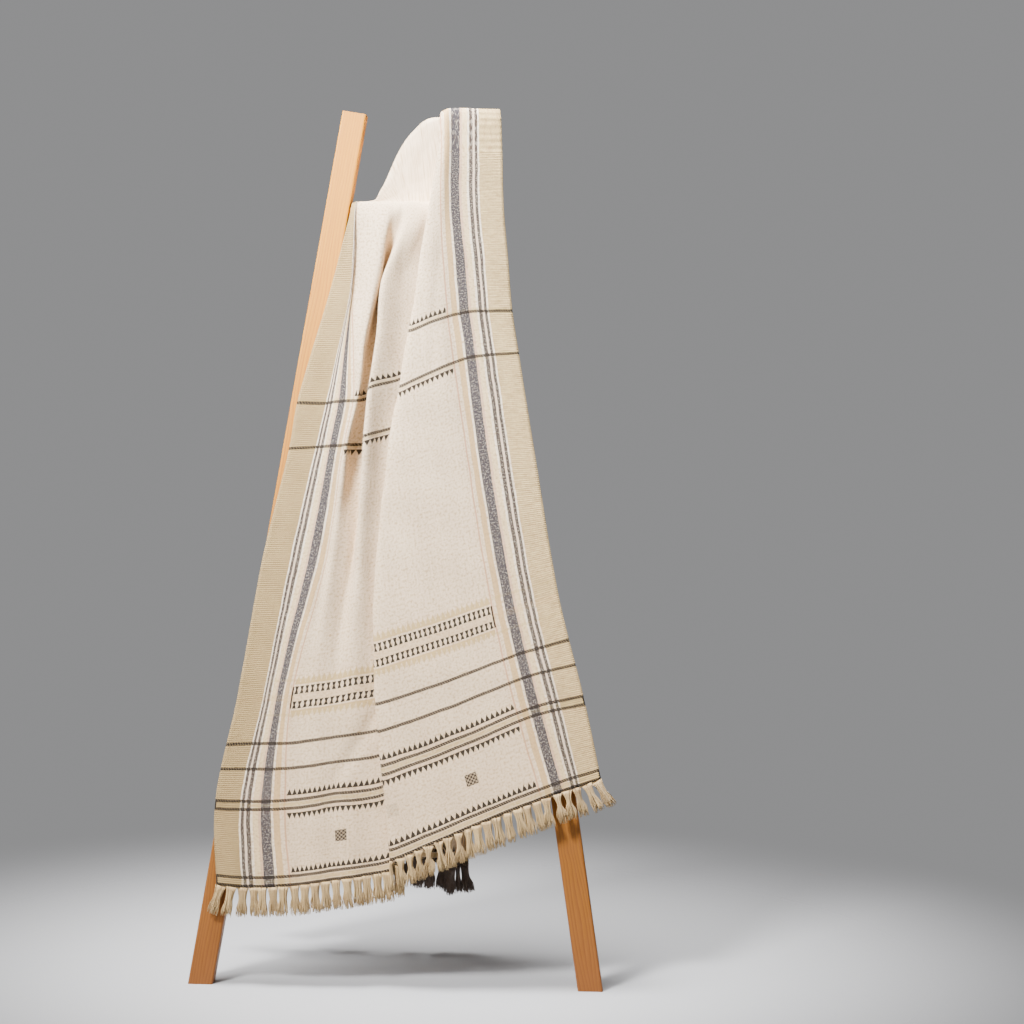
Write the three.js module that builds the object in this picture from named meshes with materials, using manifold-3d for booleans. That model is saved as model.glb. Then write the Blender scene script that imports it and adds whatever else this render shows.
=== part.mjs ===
// A long wool throw hung over the top rung of a plain wooden ladder, which leans back on a wall.
// Millimetres, +Z up, +Y towards the wall. Places are first worked out on the ladder:
// across from its centre line, up along it from the floor, and out in front of its middle plane.

import * as THREE from "three";
import { mergeVertices } from "three/addons/utils/BufferGeometryUtils.js";
import Module from "manifold-3d";

const wasm = await Module();
wasm.setup();

// Ladder sizes
const LEAN = THREE.MathUtils.degToRad(10);
const RAIL_LENGTH = 1500;
const RAIL_WIDTH = 42;
const RAIL_DEPTH = 30;
const RAIL_ROUNDING = 3;
const FEET_APART = 663;
const TOPS_APART = 196;
const RUNG_RADIUS = 14;
const RUNG_PLACES = [365, 685, 1005, 1325];
const TENON_RADIUS = 9;
const TENON_LENGTH = 16;
const ROUND_SIDES = 16;
const CORNER_STEPS = 3;
const FIT_GAP = 0.3;
const CUT_MARGIN = 100;

// Cloth sizes
const CLOTH_THICKNESS = 2;
const TURN_RADIUS = 4;
const BACK_TURN_WIDTH = 11;
const BACK_TURN_FLATTENING = 0.4;

// Fringe sizes
const FRINGE_LENGTH = 50;
const TASSEL_PITCH = 17;
const STRIP_GAP = 1;
const STRIP_HEIGHT = 5;
const STRIP_THICKNESS = 2.4;
const ROOT_OVERLAP = 3;

// Fold lines of the throw in their order across the cloth. The cloth runs under the right-hand panel,
// turns back there and turns again at the crease, so these two lines are hairpin bends.
const FOLD_LINES = [
  "left_edge", "band", "field", "first_pleat", "valley", "second_pleat",
  "under", "turn", "crease", "panel", "stripe", "right_edge",
];
const STEPS_BETWEEN_LINES = [2, 2, 2, 2, 2, 2, 3, 1, 1, 3, 1, 1, 3, 3, 3];

// Sections in front of the ladder, from the hem to the top. Layers lie on each other in the way of lift.
const FRONT_SECTIONS = [
  {
    name: "hem", steps: 3, lift: [1, 0],
    across: [-306, -263, -176, -123, -89, -49, -10, 13, -10, 138, 273, 346],
    up: [164, 161, 165, 173, 178, 185, 193, 202, 210, 273, 328, 353],
    out: [26, 29, 35, 37, 34, 31, 25, 30, 38, 48, 41, 30],
  },
  {
    name: "lower_bands", steps: 3, lift: [1, 0],
    across: [-312, -269, -185, -137, -99, -61, -27, 0, -27, 104, 230, 315],
    up: [303, 302, 305, 312, 319, 323, 329, 343, 362, 409, 467, 490],
    out: [24, 27, 34, 36, 33, 30, 25, 30, 38, 47, 39, 28],
  },
  {
    name: "motif_band", steps: 5, lift: [1, 0],
    across: [-279, -234, -184, -147, -112, -77, -42, 11, -44, 71, 185, 269],
    up: [480, 484, 485, 490, 495, 502, 509, 529, 559, 595, 637, 666],
    out: [23, 26, 32, 34, 31, 33, 26, 31, 39, 47, 36, 26],
  },
  {
    name: "plain_middle", steps: 4, lift: [1, 0],
    across: [-239, -191, -131, -105, -91, -74, -39, 46, -35, 54, 137, 227],
    up: [727, 728, 735, 739, 746, 752, 763, 797, 826, 857, 886, 895],
    out: [23, 27, 32, 35, 24, 38, 27, 31, 40, 47, 35, 25],
  },
  {
    name: "lower_line", steps: 2, lift: [1, 0],
    across: [-198, -152, -109, -87, -77, -67, -23, 78, -9, 49, 110, 194],
    up: [913, 916, 918, 920, 924, 934, 950, 994, 1021, 1046, 1072, 1082],
    out: [23, 28, 34, 40, 19, 44, 27, 29, 41, 48, 35, 24],
  },
  {
    name: "upper_line", steps: 4, lift: [1, 0],
    across: [-186, -136, -101, -82, -72, -62, -8, 76, 6, 49, 98, 182],
    up: [992, 992, 995, 995, 1005, 1017, 1035, 1080, 1117, 1133, 1150, 1155],
    out: [23, 29, 34, 41, 19, 45, 27, 28, 41, 47, 35, 23],
  },
  {
    name: "below_rung", steps: 3, lift: [1, 0],
    across: [-129, -95, -91, -68, -59, -49, -4, 70, 35, 56, 78, 164],
    up: [1191, 1191, 1193, 1195, 1202, 1208, 1222, 1297, 1318, 1328, 1335, 1339],
    out: [22, 31, 25, 39, 20, 41, 27, 26, 39, 44, 34, 22],
  },
  {
    name: "rung_front", steps: 2, lift: [1, 0],
    across: [-94, -87, -84, -58, -46, -34, 38, 68, 50, 62, 76, 160],
    up: [1325, 1325, 1325, 1325, 1325, 1325, 1328, 1371, 1431, 1433, 1431, 1431],
    out: [19.5, 23, 20, 27, 19.5, 27, 20, 22, 34, 39, 31, 21],
  },
  {
    name: "front_shoulder", steps: 2, lift: [0.8, 0.6],
    across: [-94, -87, -84, -60, -44, -29, 37, 66, 52, 62, 74, 155],
    up: [1339, 1340, 1340, 1343, 1340, 1344, 1346, 1440, 1492, 1501, 1505, 1504],
    out: [14, 15, 14, 15, 12, 13, 12, 14, 22, 24, 19, 18],
  },
  {
    name: "ridge", steps: 2, lift: [0, 0.6],
    across: [-94, -87, -84, -60, -47, -12, 30, 62, 52, 63, 71, 150],
    up: [1344, 1345, 1345, 1350, 1382, 1465, 1498, 1500, 1503, 1507, 1508, 1507],
    out: [0, 0, 0, -2, -16, -46, -36, -14, 0, 1, 0, 0],
  },
  {
    name: "back_shoulder", steps: 1, lift: [-0.6, 0.4],
    across: [-94, -87, -84, -60, -47, -12, 30, 62, 53, 63, 71, 150],
    up: [1339, 1340, 1340, 1344, 1374, 1456, 1490, 1492, 1495, 1501, 1505, 1504],
    out: [-14, -14, -14, -17, -30, -59, -49, -28, -22, -24, -20, -18],
  },
  {
    name: "behind", steps: 4, lift: [-1, 0],
    across: [-95, -87, -83, -60, -47, -13, 30, 62, 53, 63, 72, 150],
    up: [1322, 1322, 1322, 1325, 1352, 1428, 1462, 1464, 1467, 1471, 1475, 1475],
    out: [-20, -21, -20, -24, -36, -63, -54, -34, -30, -34, -27, -21],
  },
];

// Sections of the half that hangs upright behind: height over the floor, depth of its middle and its folds.
const BACK_SECTIONS = [
  {
    name: "back_upper", steps: 6, middle: 262, fold: 9,
    across: [-120, -105, -85, -62, -38, -14, 14, 50, 82, 108, 128, 152],
    height: [1130, 1130, 1130, 1130, 1140, 1170, 1200, 1215, 1230, 1245, 1250, 1250],
  },
  {
    name: "back_middle", steps: 6, middle: 255, fold: 20,
    across: [-205, -173, -139, -103, -67, -32, 4, 38, 70, 95, 114, 131],
    height: [690, 690, 690, 690, 694, 702, 714, 727, 742, 756, 768, 778],
  },
  {
    name: "back_hem", steps: 0, middle: 248, fold: 22,
    across: [-290, -247, -197, -147, -98, -51, -8, 26, 54, 75, 91, 106],
    height: [208, 207, 206, 203, 199, 193, 183, 171, 162, 157, 157, 160],
  },
];
const BACK_FOLD_SIDES = [0.2, -0.8, 0.9, -1, 0.8, -0.9, 0.7, -1, 1, -0.8, 0.7, -0.2];

// Rings of one tassel: place along it, width and thickness.
const TASSEL_RINGS = [
  { along: 0, width: 3.5, thick: 2.4 },
  { along: 0.4, width: 4, thick: 2.8 },
  { along: 1, width: 12, thick: 4.5 },
];
const STRAIGHT_DOWN = new THREE.Vector3(0, 0, -1);
const HANG = 0.15;
const CORNER_FAN = 0.35;
const FANNED_TASSELS = 3;

const WOOD_ROUGHNESS = 0.6;
const CLOTH_ROUGHNESS = 0.95;
const COLOURS = { wood: 0xd49b61, cloth: 0xe6ddcd, pale_yarn: 0xd6c19c, dark_yarn: 0x2c2420 };

// A point on the ladder, in the upright frame.
function onLadder(across, out, up) {
  return new THREE.Vector3(
    across,
    up * Math.sin(LEAN) - out * Math.cos(LEAN),
    up * Math.cos(LEAN) + out * Math.sin(LEAN),
  );
}

// A three.js geometry as a solid that can be joined and cut, and back again.
function toSolid(geometry) {
  const bare = geometry.clone();
  bare.deleteAttribute("normal");
  bare.deleteAttribute("uv");
  const merged = mergeVertices(bare, 1e-3);
  const vertProperties = new Float32Array(merged.attributes.position.array);
  const triVerts = new Uint32Array(merged.index.array);
  return new wasm.Manifold(new wasm.Mesh({ numProp: 3, vertProperties, triVerts }));
}

function toGeometry(solid) {
  const mesh = solid.getMesh();
  const geometry = new THREE.BufferGeometry();
  geometry.setAttribute("position", new THREE.BufferAttribute(mesh.vertProperties, 3));
  geometry.setIndex(new THREE.BufferAttribute(mesh.triVerts, 1));
  geometry.computeVertexNormals();
  return geometry;
}

function namedMesh(name, geometry, colour, roughness) {
  const material = new THREE.MeshStandardMaterial({ color: colour, roughness, metalness: 0 });
  const mesh = new THREE.Mesh(geometry, material);
  mesh.name = name;
  return mesh;
}

// Ladder: rails and rungs
const SPLAY = Math.atan2((FEET_APART - TOPS_APART) / 2, RAIL_LENGTH);

function railCentre(up) {
  return THREE.MathUtils.lerp(FEET_APART, TOPS_APART, up / RAIL_LENGTH) / 2;
}

function roundedRectangle(width, depth, rounding) {
  const w = width / 2;
  const d = depth / 2;
  const shape = new THREE.Shape();
  shape.moveTo(-w + rounding, -d);
  shape.lineTo(w - rounding, -d);
  shape.absarc(w - rounding, -d + rounding, rounding, -Math.PI / 2, 0, false);
  shape.absarc(w - rounding, d - rounding, rounding, 0, Math.PI / 2, false);
  shape.absarc(-w + rounding, d - rounding, rounding, Math.PI / 2, Math.PI, false);
  shape.absarc(-w + rounding, -d + rounding, rounding, Math.PI, Math.PI * 1.5, false);
  return shape;
}

function rungGeometry(shoulder) {
  const end = shoulder + TENON_LENGTH;
  const profile = [
    [0, -end], [TENON_RADIUS, -end], [TENON_RADIUS, -shoulder], [RUNG_RADIUS, -shoulder],
    [RUNG_RADIUS, shoulder], [TENON_RADIUS, shoulder], [TENON_RADIUS, end], [0, end],
  ].map(([radius, along]) => new THREE.Vector2(radius, along));
  return new THREE.LatheGeometry(profile, ROUND_SIDES).rotateZ(-Math.PI / 2);
}

function rungShoulder(up) {
  const innerFace = railCentre(up) - RAIL_WIDTH / 2 / Math.cos(SPLAY);
  return innerFace - RUNG_RADIUS * Math.tan(SPLAY) - FIT_GAP;
}

function railGeometry(side) {
  const section = roundedRectangle(RAIL_WIDTH, RAIL_DEPTH, RAIL_ROUNDING);
  const extruded = new THREE.ExtrudeGeometry(section, {
    depth: RAIL_LENGTH + 2 * CUT_MARGIN,
    bevelEnabled: false,
    curveSegments: CORNER_STEPS,
  });
  extruded.translate(0, 0, -CUT_MARGIN);
  extruded.rotateY(-side * SPLAY);
  extruded.translate((side * FEET_APART) / 2, 0, 0);
  const topCut = new THREE.BoxGeometry(CUT_MARGIN * 2, CUT_MARGIN * 2, CUT_MARGIN * 4);
  topCut.translate(0, 0, CUT_MARGIN * 2);
  topCut.rotateY(-side * SPLAY);
  topCut.translate((side * TOPS_APART) / 2, 0, RAIL_LENGTH);
  let rail = toSolid(extruded).subtract(toSolid(topCut));
  for (const up of RUNG_PLACES) {
    const depth = rungShoulder(up) + TENON_LENGTH + FIT_GAP;
    const mortise = new THREE.CylinderGeometry(
      TENON_RADIUS + FIT_GAP, TENON_RADIUS + FIT_GAP, depth, ROUND_SIDES,
    );
    mortise.rotateZ(-Math.PI / 2);
    mortise.translate((side * depth) / 2, 0, up);
    rail = rail.subtract(toSolid(mortise));
  }
  const leaning = toGeometry(rail).rotateX(-LEAN);
  const underFloor = new THREE.BoxGeometry(FEET_APART * 2, CUT_MARGIN * 4, CUT_MARGIN * 2);
  underFloor.translate(0, 0, -CUT_MARGIN);
  return toGeometry(toSolid(leaning).subtract(toSolid(underFloor)));
}

function ladderMeshes() {
  const meshes = [];
  meshes.push(namedMesh("left_rail", railGeometry(-1), COLOURS.wood, WOOD_ROUGHNESS));
  meshes.push(namedMesh("right_rail", railGeometry(1), COLOURS.wood, WOOD_ROUGHNESS));
  RUNG_PLACES.forEach((up, index) => {
    const geometry = rungGeometry(rungShoulder(up));
    const rung = namedMesh(`rung_${index + 1}`, geometry, COLOURS.wood, WOOD_ROUGHNESS);
    rung.rotation.x = -LEAN;
    rung.position.copy(onLadder(0, 0, up));
    meshes.push(rung);
  });
  return meshes;
}

// Throw: guide points of each section, smooth curves through them, and a sheet of even thickness
const TURN_LINE = FOLD_LINES.indexOf("turn");
const CREASE_LINE = FOLD_LINES.indexOf("crease");
const BEND_SIDES = [-1, 0, 1];

function frontGuides(section) {
  const guides = [];
  FOLD_LINES.forEach((_, index) => {
    const across = section.across[index];
    const out = section.out[index];
    const up = section.up[index];
    if (index !== TURN_LINE && index !== CREASE_LINE) {
      guides.push(onLadder(across, out, up));
      return;
    }
    const inward = index === TURN_LINE ? -TURN_RADIUS : TURN_RADIUS;
    for (const side of BEND_SIDES) {
      const shift = Math.abs(side) * inward;
      const lifted = side * TURN_RADIUS;
      guides.push(onLadder(across + shift, out + section.lift[0] * lifted, up + section.lift[1] * lifted));
    }
  });
  return guides;
}

function backGuides(section) {
  const guides = [];
  FOLD_LINES.forEach((_, index) => {
    const across = section.across[index];
    const depth = section.fold * BACK_FOLD_SIDES[index];
    const height = section.height[index];
    if (index !== TURN_LINE && index !== CREASE_LINE) {
      guides.push(new THREE.Vector3(across, section.middle + depth, height));
      return;
    }
    for (const side of BEND_SIDES) {
      const flattened = 1 - BACK_TURN_FLATTENING * Math.abs(side);
      const place = across + side * BACK_TURN_WIDTH;
      guides.push(new THREE.Vector3(place, section.middle + depth * flattened, height));
    }
  });
  return guides;
}

// Points on a smooth curve through the guides, with a number of steps for each span between two guides.
function alongCurve(guides, stepsBetween) {
  const curve = new THREE.CatmullRomCurve3(guides, false, "centripetal");
  const spans = guides.length - 1;
  const points = [];
  for (let span = 0; span < spans; span++) {
    for (let step = 0; step < stepsBetween[span]; step++) {
      points.push(curve.getPoint((span + step / stepsBetween[span]) / spans));
    }
  }
  points.push(guides[spans].clone());
  return points;
}

function throwGrid() {
  const sections = [...FRONT_SECTIONS, ...BACK_SECTIONS];
  const guideRows = [...FRONT_SECTIONS.map(frontGuides), ...BACK_SECTIONS.map(backGuides)];
  const stepsBetween = sections.map((section) => section.steps);
  const lines = guideRows[0].map((_, index) => {
    const guides = guideRows.map((row) => row[index]);
    return alongCurve(guides, stepsBetween);
  });
  return lines[0].map((_, row) => {
    const guides = lines.map((line) => line[row]);
    return alongCurve(guides, STEPS_BETWEEN_LINES);
  });
}

// Unit normals of the sheet, which point out of its face side.
function gridNormals(grid) {
  const rows = grid.length;
  const columns = grid[0].length;
  return grid.map((line, r) =>
    line.map((_, c) => {
      const acrossWay = grid[r][Math.min(c + 1, columns - 1)].clone().sub(grid[r][Math.max(c - 1, 0)]);
      const alongWay = grid[Math.min(r + 1, rows - 1)][c].clone().sub(grid[Math.max(r - 1, 0)][c]);
      return acrossWay.cross(alongWay).normalize();
    }),
  );
}

// A closed solid between two grids of points that have the same number of rows and columns.
function closedBetween(face, back) {
  const rows = face.length;
  const columns = face[0].length;
  const positions = [];
  for (const grid of [face, back]) {
    for (const line of grid) {
      for (const point of line) {
        positions.push(point.x, point.y, point.z);
      }
    }
  }
  const backStart = rows * columns;
  const at = (r, c) => r * columns + c;
  const index = [];
  const quad = (a, b, c, d) => index.push(a, b, c, a, c, d);
  for (let r = 0; r < rows - 1; r++) {
    for (let c = 0; c < columns - 1; c++) {
      const [a, b, d, e] = [at(r, c), at(r, c + 1), at(r + 1, c + 1), at(r + 1, c)];
      quad(a, b, d, e);
      quad(backStart + e, backStart + d, backStart + b, backStart + a);
    }
  }
  const rim = [];
  for (let c = 0; c < columns - 1; c++) rim.push(at(0, c));
  for (let r = 0; r < rows - 1; r++) rim.push(at(r, columns - 1));
  for (let c = columns - 1; c > 0; c--) rim.push(at(rows - 1, c));
  for (let r = rows - 1; r > 0; r--) rim.push(at(r, 0));
  rim.forEach((a, i) => {
    const b = rim[(i + 1) % rim.length];
    quad(b, a, backStart + a, backStart + b);
  });
  const geometry = new THREE.BufferGeometry();
  geometry.setAttribute("position", new THREE.Float32BufferAttribute(positions, 3));
  geometry.setIndex(index);
  geometry.computeVertexNormals();
  return geometry;
}

function movedAlong(grid, ways, distance) {
  return grid.map((line, r) => line.map((point, c) => point.clone().addScaledVector(ways[r][c], distance)));
}

// Fringe: a narrow strip under the hem with tassels fused to it
function stripGeometry(hem) {
  const lines = [STRIP_GAP, STRIP_GAP + STRIP_HEIGHT].map((drop) =>
    hem.map(({ point, down }) => point.clone().addScaledVector(down, drop)),
  );
  const ways = lines.map(() => hem.map(({ normal }) => normal));
  const face = movedAlong(lines, ways, STRIP_THICKNESS / 2);
  const back = movedAlong(lines, ways, -STRIP_THICKNESS / 2);
  return closedBetween(face, back);
}

function tasselGeometry(root, down, acrossWay, fan) {
  const way = down.clone().addScaledVector(acrossWay, fan).normalize();
  const wide = acrossWay.clone().addScaledVector(way, -acrossWay.dot(way)).normalize();
  const thickWay = wide.clone().cross(way).normalize();
  const positions = [];
  for (const ring of TASSEL_RINGS) {
    const centre = root.clone().addScaledVector(way, ring.along * (FRINGE_LENGTH - STRIP_HEIGHT));
    const corners = [[-1, -1], [1, -1], [1, 1], [-1, 1]];
    for (const [w, t] of corners) {
      const corner = centre.clone().addScaledVector(wide, (w * ring.width) / 2);
      corner.addScaledVector(thickWay, (t * ring.thick) / 2);
      positions.push(corner.x, corner.y, corner.z);
    }
  }
  const index = [];
  for (let ring = 0; ring < TASSEL_RINGS.length - 1; ring++) {
    for (let side = 0; side < 4; side++) {
      const a = ring * 4 + side;
      const b = ring * 4 + ((side + 1) % 4);
      index.push(a, a + 4, b, b, a + 4, b + 4);
    }
  }
  const last = (TASSEL_RINGS.length - 1) * 4;
  index.push(0, 1, 2, 0, 2, 3, last, last + 2, last + 1, last, last + 3, last + 2);
  const geometry = new THREE.BufferGeometry();
  geometry.setAttribute("position", new THREE.Float32BufferAttribute(positions, 3));
  geometry.setIndex(index);
  return geometry;
}

// Points of a hem with the cloth's way down and its normal at each.
function hemFrames(grid, hemRow, rowAbove) {
  const columns = grid[hemRow].length;
  return grid[hemRow].map((point, c) => {
    const down = point.clone().sub(grid[rowAbove][c]).normalize();
    const before = grid[hemRow][Math.max(c - 1, 0)];
    const after = grid[hemRow][Math.min(c + 1, columns - 1)];
    const normal = after.clone().sub(before).cross(down).normalize();
    return { point, down, normal };
  });
}

function fringeGeometry(hem) {
  const lengths = [0];
  for (let i = 1; i < hem.length; i++) {
    lengths.push(lengths[i - 1] + hem[i].point.distanceTo(hem[i - 1].point));
  }
  const whole = lengths[lengths.length - 1];
  const count = Math.floor(whole / TASSEL_PITCH);
  let fringe = toSolid(stripGeometry(hem));
  for (let number = 0; number < count; number++) {
    const place = ((number + 0.5) / count) * whole;
    const next = lengths.findIndex((length) => length > place);
    const share = (place - lengths[next - 1]) / (lengths[next] - lengths[next - 1]);
    const from = hem[next - 1];
    const to = hem[next];
    const root = from.point.clone().lerp(to.point, share);
    const cloth = from.down.clone().lerp(to.down, share).normalize();
    const down = cloth.clone().lerp(STRAIGHT_DOWN, HANG).normalize();
    const acrossWay = to.point.clone().sub(from.point).normalize();
    root.addScaledVector(cloth, STRIP_GAP + STRIP_HEIGHT - ROOT_OVERLAP);
    const fromLeft = Math.max(0, FANNED_TASSELS - number) / FANNED_TASSELS;
    const fromRight = Math.max(0, FANNED_TASSELS - (count - 1 - number)) / FANNED_TASSELS;
    const fan = CORNER_FAN * (fromRight - fromLeft);
    fringe = fringe.add(toSolid(tasselGeometry(root, down, acrossWay, fan)));
  }
  return toGeometry(fringe);
}

function throwMeshes() {
  const grid = throwGrid();
  const normals = gridNormals(grid);
  const face = movedAlong(grid, normals, CLOTH_THICKNESS / 2);
  const back = movedAlong(grid, normals, -CLOTH_THICKNESS / 2);
  const last = grid.length - 1;
  const frontFringe = fringeGeometry(hemFrames(grid, 0, 1));
  const backFringe = fringeGeometry(hemFrames(grid, last, last - 1));
  return [
    namedMesh("throw", closedBetween(face, back), COLOURS.cloth, CLOTH_ROUGHNESS),
    namedMesh("front_fringe", frontFringe, COLOURS.pale_yarn, CLOTH_ROUGHNESS),
    namedMesh("back_fringe", backFringe, COLOURS.dark_yarn, CLOTH_ROUGHNESS),
  ];
}

// The whole object, moved so that the origin is at the middle of its footprint on the floor
const object = new THREE.Group();
object.add(...ladderMeshes(), ...throwMeshes());
object.updateMatrixWorld(true);
const middle = new THREE.Box3().setFromObject(object, true).getCenter(new THREE.Vector3());
object.position.set(-middle.x, -middle.y, 0);

const part = new THREE.Group();
part.add(object);

export default part;
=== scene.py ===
"""A wool throw with patterned ends, draped over the top rung of a leaning wooden ladder.

The throw is one fine sheet on the folds of its solid, with a flat map in metres: how far each thread lies
from the left selvedge and from the front hem. All stripes, bands and motifs are drawn on that map.
"""

import math

import bpy
import numpy as np
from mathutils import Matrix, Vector


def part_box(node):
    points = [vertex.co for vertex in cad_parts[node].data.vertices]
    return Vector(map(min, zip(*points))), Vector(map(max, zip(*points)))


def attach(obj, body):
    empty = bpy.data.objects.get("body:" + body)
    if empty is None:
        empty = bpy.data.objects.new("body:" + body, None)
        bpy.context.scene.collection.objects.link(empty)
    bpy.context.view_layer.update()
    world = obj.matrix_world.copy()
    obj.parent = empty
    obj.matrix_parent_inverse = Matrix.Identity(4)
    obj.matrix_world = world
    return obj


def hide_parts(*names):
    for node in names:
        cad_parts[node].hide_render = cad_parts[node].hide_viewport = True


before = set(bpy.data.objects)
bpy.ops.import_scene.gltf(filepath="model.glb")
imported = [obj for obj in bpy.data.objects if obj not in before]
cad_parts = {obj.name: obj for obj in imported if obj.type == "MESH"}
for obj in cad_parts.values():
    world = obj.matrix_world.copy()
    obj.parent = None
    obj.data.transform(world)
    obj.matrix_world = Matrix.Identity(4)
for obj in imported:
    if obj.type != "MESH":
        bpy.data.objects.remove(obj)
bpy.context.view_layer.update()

MM = 0.001
SEED = 11

# Ladder, as in the solids
LEAN = math.radians(10)
RAIL_DEPTH = 30
FEET_APART = 663
TOPS_APART = 196
RAIL_LENGTH = 1500

# Cloth, in millimetres
CLOTH_WIDTH = 700
CLOTH_LENGTH = 2420
CLOTH_THICKNESS = 2
THREAD_PITCH = 1.5
TURN_RADIUS = 4
TURN_ARC = 6.3
BACK_TURN_WIDTH = 11
BACK_TURN_FLATTENING = 0.4

# Fringe: sizes in millimetres, the rest as shares and radians
TASSEL_COUNT = 41
TASSEL_LENGTH = 50
YARN_LENGTH_SHARES = (0.78, 1.02)
TASSEL_SCATTER = 0.08
TASSEL_SWING = 0.06
TASSEL_OVERLAP = 1.5
HEM_SPAN = 6
YARNS_IN_TASSEL = 64
YARN_RADIUS = 0.85
YARN_SIDES = 3
YARN_TAPER = 0.5
TUFT_WIDTH = 9.6
TUFT_DEPTH = 4.6
TUFT_HEAD = 0.35
TUFT_TWIST = 0.5
TUFT_CURL = 1.5
TUFT_CURL_RATE = 7
TUFT_CURL_DEPTH = 0.5
TUFT_FILLING = 0.6
TUFT_OUTLINE = (0.96, 0.66, 0.44, 0.34, 0.36, 0.62, 0.9, 1.0, 0.98)
HANG = 0.15
CORNER_FAN = 0.35
FANNED_TASSELS = 3

# How loosely the necks are drawn in, from tassel to tassel: number and slack
FRONT_NECKS = (
    (0, 0.5), (18, 0.5), (20, 0.1), (26, 0.1), (28, 0.5), (34, 0.5), (36, 0.1), (37, 0.1), (39, 0.4),
)
BACK_NECKS = ((0, 0.0),)

# Camera: the photograph's view
VIEW_AZIMUTH = math.radians(3)
VIEW_ELEVATION = math.radians(5.5)
VIEW_ROLL = math.radians(0.4)
VIEW_DISTANCE = 5.8
VIEW_TARGET = Vector((0.178, 0.004, 0.797))
VIEW_LENS = 118.6

# Fold lines across the cloth: left_edge, band, field, first_pleat, valley_left, valley_right, second_pleat,
# under, turn, crease, panel, stripe, right_edge. The turn and the crease are hairpin bends.
TURN_LINE = 8
CREASE_LINE = 9
STEPS_ACROSS = (9, 15, 12, 6, 5, 8, 10, 18, 3, 3, 18, 3, 3, 20, 18, 16)

# Flat places of the lines that keep their distance from a selvedge, before and after the moving ones
FLAT_LEFT = (0, 41)
FLAT_RIGHT = (613, 700)

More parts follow.
